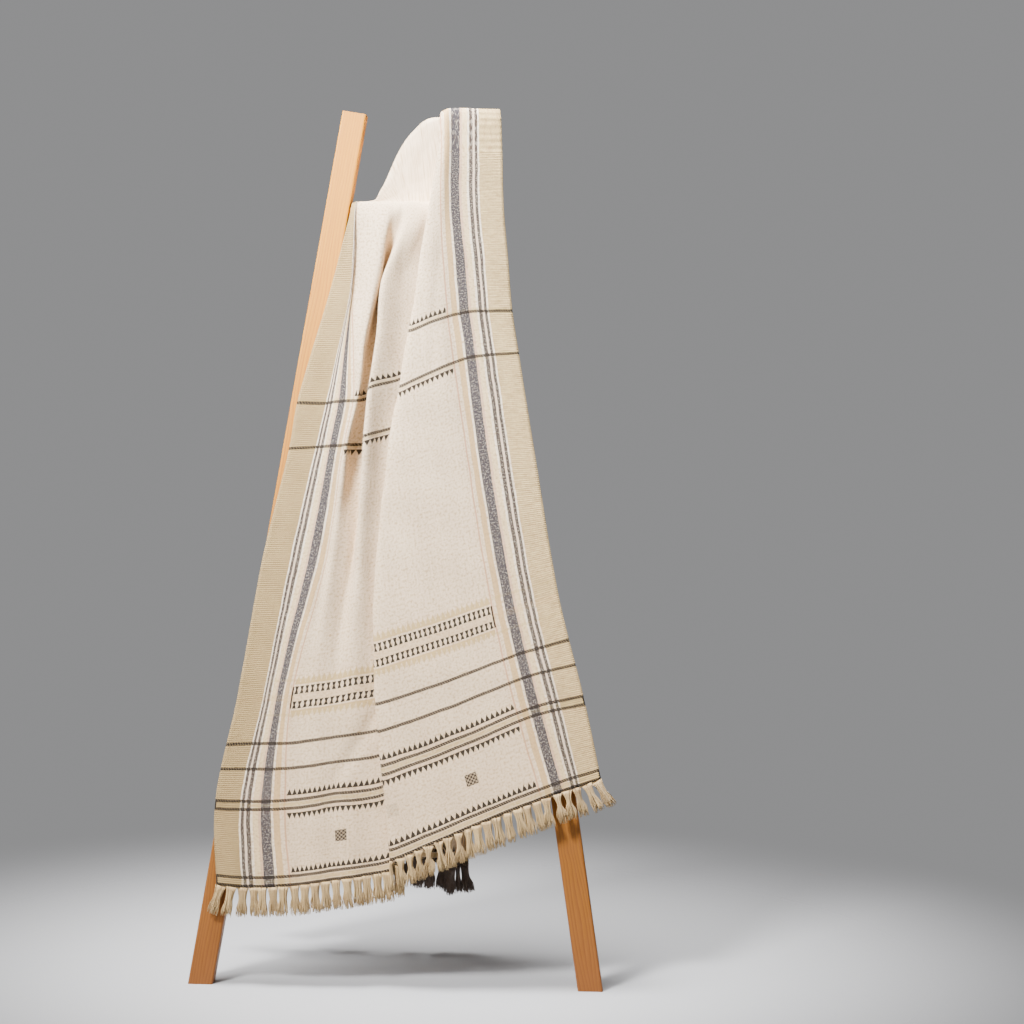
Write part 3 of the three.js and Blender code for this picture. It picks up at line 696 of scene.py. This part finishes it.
class Graph:
    """Short names for the nodes of one material. A value is a number, a colour or a socket."""

    def __init__(self, name):
        self.material = bpy.data.materials.new(name)
        self.material.use_nodes = True
        self.tree = self.material.node_tree
        self.shader = self.tree.nodes["Principled BSDF"]

    def node(self, kind, **settings):
        made = self.tree.nodes.new(kind)
        for key, value in settings.items():
            setattr(made, key, value)
        return made

    def put(self, value, socket):
        if isinstance(value, bpy.types.NodeSocket):
            self.tree.links.new(value, socket)
        else:
            socket.default_value = value

    def math(self, operation, *values):
        made = self.node("ShaderNodeMath", operation=operation)
        for value, socket in zip(values, made.inputs):
            self.put(value, socket)
        return made.outputs[0]

    def times(self, first, second):
        return self.math("MULTIPLY", first, second)

    def scaled(self, value, factor, offset):
        return self.math("MULTIPLY_ADD", value, factor, offset)

    def wave(self, value, rate):
        return self.math("SINE", self.times(value, rate))

    def below(self, value, limit):
        """1 where the value is under the limit, and 0 elsewhere."""
        return self.math("LESS_THAN", value, limit)

    def near(self, value, middle, reach):
        """1 where the value lies within reach of the middle, and 0 elsewhere."""
        return self.math("COMPARE", value, middle, reach)

    def between(self, value, low, high):
        return self.near(value, (low + high) / 2, (high - low) / 2)

    def most(self, values):
        result = values[0]
        for value in values[1:]:
            result = self.math("MAXIMUM", result, value)
        return result

    def mix(self, share, first, second):
        made = self.node("ShaderNodeMix", data_type="RGBA")
        self.put(share, made.inputs[0])
        self.put(first, made.inputs[6])
        self.put(second, made.inputs[7])
        return made.outputs[2]

    def vector(self, x, y, z=0.0):
        made = self.node("ShaderNodeCombineXYZ")
        for value, socket in zip((x, y, z), made.inputs):
            self.put(value, socket)
        return made.outputs[0]

    def parts(self, vector):
        made = self.node("ShaderNodeSeparateXYZ")
        self.put(vector, made.inputs[0])
        return made.outputs

    def noise(self, place, scale, detail=2.0):
        made = self.node("ShaderNodeTexNoise")
        self.put(place, made.inputs["Vector"])
        made.inputs["Scale"].default_value = scale
        made.inputs["Detail"].default_value = detail
        return made.outputs["Fac"]

    def ramp(self, value, stops):
        """Steps of colour: stops are (place from 0 to 1, colour)."""
        made = self.node("ShaderNodeValToRGB")
        made.color_ramp.interpolation = "CONSTANT"
        elements = made.color_ramp.elements
        elements.remove(elements[1])
        for number, (place, colour) in enumerate(stops):
            element = elements[0] if number == 0 else elements.new(place)
            element.position = place
            element.color = colour
        self.put(value, made.inputs[0])
        return made.outputs["Color"]

    def bump(self, height, strength, distance):
        made = self.node("ShaderNodeBump")
        made.inputs["Strength"].default_value = strength
        made.inputs["Distance"].default_value = distance
        self.put(height, made.inputs["Height"])
        self.tree.links.new(made.outputs[0], self.shader.inputs["Normal"])

    def finish(self, colour, roughness, **constants):
        self.put(colour, self.shader.inputs["Base Color"])
        self.put(roughness, self.shader.inputs["Roughness"])
        for name, value in constants.items():
            self.shader.inputs[name.replace("_", " ")].default_value = value
        return self.material


class WoolGraph(Graph):
    """The nodes of the throw, with the places on the flat cloth on which its patterns are charted."""

    def __init__(self, name):
        super().__init__(name)
        flat = self.parts(self.node("ShaderNodeUVMap", uv_map="cloth").outputs[0])
        self.exact_across = self.math("DIVIDE", flat[0], MM)
        self.exact_along = self.math("DIVIDE", flat[1], MM)
        self.place = self.vector(self.exact_across, self.exact_along)

        # Threads wander a little, so no line is quite straight and no edge is sharp
        wander = self.math("ADD", self.patches(*THREAD_DRIFT), self.patches(*THREAD_RAGGEDNESS))
        self.across = self.math("ADD", self.exact_across, wander)
        self.along = self.math("ADD", self.exact_along, wander)
        self.from_edge = self.math("MINIMUM", self.across, self.math("SUBTRACT", CLOTH_WIDTH, self.across))
        self.from_hem = self.math("MINIMUM", self.along, self.math("SUBTRACT", CLOTH_LENGTH, self.along))
        self.from_band = self.math("ABSOLUTE", self.math("SUBTRACT", self.from_hem, MOTIF_BAND))
        self.in_field = self.math("GREATER_THAN", self.from_edge, FIELD_START)
        self.in_selvedge = self.below(self.from_edge, SELVEDGE)
        self.grey_stripes = self.most([self.between(self.from_edge, *stripe) for stripe in GREY_STRIPES])

    def patches(self, scale, factor, offset, detail=2.0):
        """Noise over the flat cloth, made into a cover."""
        return self.scaled(self.noise(self.place, scale, detail), factor, offset)

    def streaks(self, across_scale, along_scale, detail=2.0):
        """Noise drawn out along the threads."""
        across = self.times(self.exact_across, across_scale)
        along = self.times(self.exact_along, along_scale)
        return self.noise(self.vector(across, along), 1.0, detail)

    def across_field(self, pitch):
        """0 in the middle of each repeat across the field, and 1 at its edges."""
        from_start = self.math("SUBTRACT", self.across, FIELD_START)
        repeat = self.math("FRACT", self.math("DIVIDE", from_start, pitch))
        return self.math("ABSOLUTE", self.scaled(repeat, 2, -1))


def border_stripes(wool):
    """The stripes along both selvedges, with pale flecks in the grey ones."""
    reach = BORDER_STRIPES[-1][0] + STRIPES_MARGIN
    stops = [(distance / reach, COLOURS[name]) for distance, name in BORDER_STRIPES]
    colour = wool.ramp(wool.math("DIVIDE", wool.from_edge, reach), stops)
    twill = wool.wave(wool.math("ADD", wool.across, wool.along), TWILL_RATE)
    threshold = wool.scaled(twill, TWILL_DEPTH, FLECK_THRESHOLD)
    fleck = wool.scaled(wool.noise(wool.place, FLECK_SCALE), FLECK_CONTRAST, threshold)
    fleck = wool.math("MINIMUM", wool.math("MAXIMUM", fleck, 0), FLECK_MOST)
    return wool.mix(wool.times(fleck, wool.grey_stripes), colour, COLOURS["white"])


def weft_strips(wool, colour):
    """Bands of coloured weft across the whole cloth, hidden by the grey warp."""
    shown = wool.times(wool.patches(*WEFT_FLECKS), wool.scaled(wool.grey_stripes, -WEFT_HIDDEN, 1))
    for middle, reach, name, cover in WEFT_STRIPS:
        strip = wool.times(wool.near(wool.from_hem, middle, reach), cover)
        colour = wool.mix(wool.times(strip, shown), colour, COLOURS[name])
    return colour


def tan_teeth(wool, colour):
    """Teeth of tan over and under the motif band."""
    height = wool.scaled(wool.from_band, 1 / TEETH_HEIGHT, -TEETH_START / TEETH_HEIGHT)
    side = wool.scaled(wool.across_field(MOTIF_PITCH), *TEETH_SIDE)
    tooth = wool.math("MINIMUM", height, wool.math("SUBTRACT", side, height))
    tooth = wool.times(wool.math("GREATER_THAN", tooth, 0), wool.in_field)
    return wool.mix(wool.times(tooth, TOOTH_COVER), colour, COLOURS["tooth"])


def uneven_yarn(wool, colour, streaks):
    """Streaks, fuzz, mottling and yellowing of the light yarn, streaked selvedges, and painted shade on the
    left one.
    """
    light_yarn = wool.scaled(wool.grey_stripes, -GREY_KEPT, 1)
    covers = (
        ("streaked", wool.scaled(streaks, *STREAK_COVER)),
        ("fuzzy", wool.patches(*FUZZ)),
        ("mottled", wool.patches(*MOTTLE)),
        ("yellowed", wool.scaled(wool.from_hem, *YELLOWING)),
    )
    for name, cover in covers:
        colour = wool.mix(wool.times(cover, light_yarn), colour, COLOURS[name])
    uneven = wool.scaled(wool.streaks(*SELVEDGE_STREAKS), *SELVEDGE_COVER)
    colour = wool.mix(wool.times(uneven, wool.in_selvedge), colour, COLOURS["selvedge_streak_and_shade"])
    # Painted shade: the left selvedge is darkened as though it lay in shade
    painted_left_shade = wool.times(wool.below(wool.across, SELVEDGE), LEFT_SELVEDGE_SHADE)
    return wool.mix(painted_left_shade, colour, COLOURS["selvedge_streak_and_shade"])


def triangles(wool):
    side = wool.scaled(wool.across_field(TRIANGLE_PITCH), *TRIANGLE_SIDE)
    rows = []
    for base, way in TRIANGLE_ROWS:
        rise = way / TRIANGLE_HEIGHT
        height = wool.scaled(wool.from_hem, rise, -base * rise)
        rows.append(wool.math("MINIMUM", height, wool.math("SUBTRACT", side, height)))
    return wool.math("GREATER_THAN", wool.most(rows), 0)


def hourglasses(wool):
    """The two rows of hourglass figures in the motif band."""
    from_row = wool.math("ABSOLUTE", wool.math("SUBTRACT", wool.from_band, MOTIF_ROW_OFFSET))
    height = wool.math("DIVIDE", from_row, MOTIF_HALF_HEIGHT)
    figure = wool.below(wool.across_field(MOTIF_PITCH), wool.scaled(height, *HOURGLASS_SIDE))
    return wool.times(figure, wool.below(height, 1))


def squares(wool):
    """Small chequered squares near the corners, and a faint one in the middle."""
    at_sides = wool.near(wool.from_edge, SQUARE_FROM_EDGE, SQUARE_HALF)
    in_middle = wool.math("GREATER_THAN", wool.from_edge, CLOTH_WIDTH / 2 - SQUARE_HALF)
    shown = wool.math("ADD", at_sides, wool.times(in_middle, MIDDLE_SQUARE_COVER))
    checker = wool.node("ShaderNodeTexChecker")
    checker.inputs["Scale"].default_value = 1 / SQUARE_CELL
    wool.put(wool.vector(wool.across, wool.along, 0.5), checker.inputs["Vector"])
    square = wool.times(wool.near(wool.from_hem, SQUARE_FROM_HEM, SQUARE_HALF), shown)
    return wool.times(square, wool.scaled(checker.outputs["Fac"], *CHECKER_COVER))


def twined_lines(wool):
    """Lines of slanted dashes, joined at the selvedge where two lie close together."""
    lines = wool.most([wool.near(wool.from_hem, line, ROPE_WIDTH / 2) for line in ROPE_LINES])
    slant = wool.scaled(wool.along, ROPE_SLANT, wool.across)
    dash = wool.below(wool.math("FRACT", wool.math("DIVIDE", slant, ROPE_PITCH)), ROPE_DASH)
    ropes = wool.times(lines, wool.scaled(dash, 1 - ROPE_GAP_COVER, ROPE_GAP_COVER))
    paired = wool.most([wool.between(wool.from_hem, *pair) for pair in ROPE_PAIRS])
    return wool.most([ropes, wool.times(paired, wool.below(wool.from_edge, JOIN_WIDTH))])


def dark_yarn_pattern(wool):
    """All that is woven in dark yarn."""
    figures = wool.times(wool.most([triangles(wool), hourglasses(wool), squares(wool)]), wool.in_field)
    beside_field = wool.between(wool.from_edge, FIELD_START - BRACKET_WIDTH, FIELD_START)
    bracket = wool.times(beside_field, wool.below(wool.from_band, BRACKET_REACH))
    return wool.most([figures, bracket, twined_lines(wool)])


def weave_height(wool):
    """Plain weave, with ribs in the beige selvedge bands."""
    thread = math.pi / THREAD_PITCH
    weave = wool.times(wool.wave(wool.exact_across, thread), wool.wave(wool.exact_along, thread))
    ribs = wool.times(wool.wave(wool.exact_along, 2 * math.pi / RIB_PITCH), wool.in_selvedge)
    return wool.scaled(weave, WEAVE_HEIGHT, wool.times(ribs, RIB_HEIGHT))


def wool_material():
    wool = WoolGraph("woven_wool")
    warp = wool.streaks(YARN_ACROSS, YARN_ALONG, YARN_DETAIL)
    weft = wool.streaks(YARN_ALONG, YARN_ACROSS, YARN_DETAIL)
    streaks = wool.math("ADD", warp, weft)
    dark = dark_yarn_pattern(wool)
    height = weave_height(wool)

    colour = tan_teeth(wool, weft_strips(wool, border_stripes(wool)))
    colour = uneven_yarn(wool, colour, streaks)
    colour = wool.mix(wool.times(dark, DARK_COVER), colour, COLOURS["dark"])
    # Painted shade: the hollows of the weave and the gaps between the ribs are darkened
    colour = wool.mix(wool.scaled(height, -WEAVE_SHADE, WEAVE_SHADE), colour, COLOURS["weave_hollow_shade"])

    height = wool.scaled(wool.noise(wool.place, *NAP), NAP_HEIGHT, height)
    height = wool.scaled(streaks, STREAK_HEIGHT, height)
    height = wool.scaled(dark, DARK_HEIGHT, height)
    wool.bump(height, *WOOL_BUMP)
    roughness = wool.scaled(streaks, *WOOL_ROUGHNESS)
    return wool.finish(colour, roughness, Sheen_Weight=0.08, Sheen_Roughness=0.5, Specular_IOR_Level=0.15)


def yarn_material(name, light, shade, tip):
    graph = Graph(name)
    place = graph.node("ShaderNodeTexCoord").outputs["Object"]
    broad = graph.noise(place, *YARN_PATCHES)
    fine = graph.noise(place, *YARN_HAIRS)
    colour = graph.mix(graph.scaled(broad, *YARN_SHADE_COVER), light, shade)
    colour = graph.mix(graph.scaled(fine, *YARN_TIP_COVER), colour, tip)
    graph.bump(fine, *YARN_BUMP)
    roughness = graph.scaled(fine, *YARN_ROUGHNESS)
    return graph.finish(colour, roughness, Sheen_Weight=0.3, Specular_IOR_Level=0.2)


def knot_closeness(graph, place, knots):
    """About 1 at each knot, fading out round it."""
    total = 0.0
    for knot in knots:
        apart = graph.node("ShaderNodeVectorMath", operation="DISTANCE")
        graph.put(place, apart.inputs[0])
        apart.inputs[1].default_value = knot
        closeness = graph.math("EXPONENT", graph.times(apart.outputs["Value"], -KNOT_FADE))
        total = graph.math("ADD", closeness, total)
    return total


def wood_material(name, way, knots):
    """Planed softwood with its grain along way, with painted shade that browns it towards the floor. Knots
    are points in metres.
    """
    graph = Graph(name)
    place = graph.node("ShaderNodeTexCoord").outputs["Object"]
    turned = graph.node("ShaderNodeMapping")
    turned.inputs["Rotation"].default_value = Vector(way).rotation_difference(Vector((0, 0, 1))).to_euler()
    graph.put(place, turned.inputs["Vector"])
    x, y, z = graph.parts(turned.outputs[0])

    def along_grain(slimness, scale, detail):
        slim = graph.vector(graph.times(x, slimness), graph.times(y, slimness), z)
        return graph.noise(slim, scale, detail)

    near_knot = knot_closeness(graph, place, knots)
    ring_place = graph.scaled(along_grain(*WOOD_SWAY), RING_SWAY, graph.scaled(y, RING_TILT, x))
    ring_place = graph.scaled(near_knot, RING_KNOT_PUSH, ring_place)
    rings = graph.math("FRACT", graph.times(ring_place, RINGS_IN_METRE))
    rings = graph.math("POWER", rings, RING_SHARPNESS)
    streak = along_grain(*WOOD_STREAKS)
    pores = along_grain(*WOOD_PORES)
    # Painted shade: the wood gets browner and darker towards the floor, its rings most of all
    low_shade = graph.scaled(graph.parts(place)[2], *LOW_SHADE_COVER)

    grain = graph.scaled(rings, RING_COVER, graph.scaled(streak, *STREAK_GRAIN))
    low_shade_rings = graph.times(graph.times(rings, low_shade), LOW_SHADE_RING_COVER)
    colour = graph.mix(grain, COLOURS["wood"], COLOURS["wood_grain"])
    colour = graph.mix(low_shade, colour, COLOURS["wood_low_shade"])
    colour = graph.mix(low_shade_rings, colour, COLOURS["wood_shaded_ring"])
    colour = graph.mix(graph.times(near_knot, KNOT_COVER), colour, COLOURS["wood_knot"])
    colour = graph.mix(graph.scaled(pores, *PORE_COVER), colour, COLOURS["wood_pore"])
    graph.bump(graph.scaled(rings, RING_HEIGHT, graph.math("ADD", streak, pores)), *WOOD_BUMP)
    return graph.finish(colour, graph.scaled(streak, *WOOD_ROUGHNESS), Specular_IOR_Level=0.4)


# Build

left_low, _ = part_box("left_rail")
_, right_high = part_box("right_rail")
shift = np.array([
    (left_low.x + right_high.x) / 2,
    left_low.y + RAIL_DEPTH / 2 * MM / math.cos(LEAN),
    0.0,
])

middle_surface, flat_across, flat_along = drape()
middle_surface = rippled(middle_surface, flat_across, flat_along) + shift / MM

throw = closed_sheet("throw_cloth", middle_surface * MM, wool_material(),
                     np.stack([flat_across, flat_along], axis=-1) * MM)
pale_yarn = yarn_material("pale_yarn", *PALE_YARN)
dark_yarn = yarn_material("dark_yarn", *DARK_YARN)
front_tassels = fringe("front_tassels", middle_surface, 0, 2, FRONT_NECKS, pale_yarn, SEED)
back_tassels = fringe("back_tassels", middle_surface, -1, -3, BACK_NECKS, dark_yarn, SEED + 1)

for piece, node, slot in (
    (throw, "throw", "wool"),
    (front_tassels, "front_fringe", "pale_yarn"),
    (back_tassels, "back_fringe", "dark_yarn"),
):
    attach(piece, "root")
    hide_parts(node)

splay = (FEET_APART - TOPS_APART) / 2 / RAIL_LENGTH
grain_ways = {
    "left_rail": (splay, math.sin(LEAN), math.cos(LEAN)),
    "right_rail": (-splay, math.sin(LEAN), math.cos(LEAN)),
    "rung": (1, 0, 0),
}
woods = {name: wood_material(f"pine_{name}", way, KNOTS[name]) for name, way in grain_ways.items()}
for name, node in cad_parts.items():
    wood = woods.get("rung" if name.startswith("rung") else name)
    if wood:
        node.data.materials.clear()
        node.data.materials.append(wood)


# Stage: pale floor that fades out, soft light and camera

def floor_material():
    """Pale floor that fades into the backdrop, so no horizon shows."""
    graph = Graph("pale_floor")
    graph.finish(FLOOR_COLOUR, FLOOR_ROUGHNESS)
    place = graph.node("ShaderNodeTexCoord").outputs["Object"]
    apart = graph.node("ShaderNodeVectorMath", operation="LENGTH")
    graph.put(place, apart.inputs[0])
    fade = graph.node("ShaderNodeMapRange", interpolation_type="SMOOTHSTEP")
    graph.put(apart.outputs["Value"], fade.inputs["Value"])
    fade.inputs["From Min"].default_value, fade.inputs["From Max"].default_value = FLOOR_FADE
    clear = graph.node("ShaderNodeBsdfTransparent")
    mixed = graph.node("ShaderNodeMixShader")
    graph.put(fade.outputs["Result"], mixed.inputs[0])
    graph.tree.links.new(graph.shader.outputs[0], mixed.inputs[1])
    graph.tree.links.new(clear.outputs[0], mixed.inputs[2])
    graph.tree.links.new(mixed.outputs[0], graph.tree.nodes["Material Output"].inputs["Surface"])
    return graph.material


bpy.ops.mesh.primitive_circle_add(vertices=FLOOR_SIDES, radius=FLOOR_RADIUS, fill_type="NGON")
floor = bpy.context.object
floor.name = "floor"
floor.data.materials.append(floor_material())

world = bpy.data.worlds.new("studio")
bpy.context.scene.world = world
world.use_nodes = True
backdrop = world.node_tree.nodes["Background"]
backdrop.inputs["Color"].default_value = BACKDROP_COLOUR
backdrop.inputs["Strength"].default_value = 1.0


def area_light(name, place, aim, size, power, spread, colour):
    data = bpy.data.lights.new(name, "AREA")
    data.shape = "DISK"
    data.size = size
    data.energy = power
    data.color = colour
    data.spread = math.radians(spread)
    light = bpy.data.objects.new(name, data)
    light.location = place
    light.rotation_euler = (Vector(aim) - Vector(place)).to_track_quat("-Z", "Y").to_euler()
    bpy.context.scene.collection.objects.link(light)


for name, settings in LIGHTS.items():
    area_light(name, **settings)

camera_data = bpy.data.cameras.new("camera")
camera_data.lens = VIEW_LENS
camera = bpy.data.objects.new("camera", camera_data)
away = Vector((
    math.sin(VIEW_AZIMUTH) * math.cos(VIEW_ELEVATION),
    -math.cos(VIEW_AZIMUTH) * math.cos(VIEW_ELEVATION),
    math.sin(VIEW_ELEVATION),
))
camera.location = VIEW_TARGET + away * VIEW_DISTANCE
camera.rotation_euler = (-away).to_track_quat("-Z", "Y").to_euler()
camera.rotation_euler.rotate_axis("Z", VIEW_ROLL)
bpy.context.scene.collection.objects.link(camera)
bpy.context.scene.camera = camera
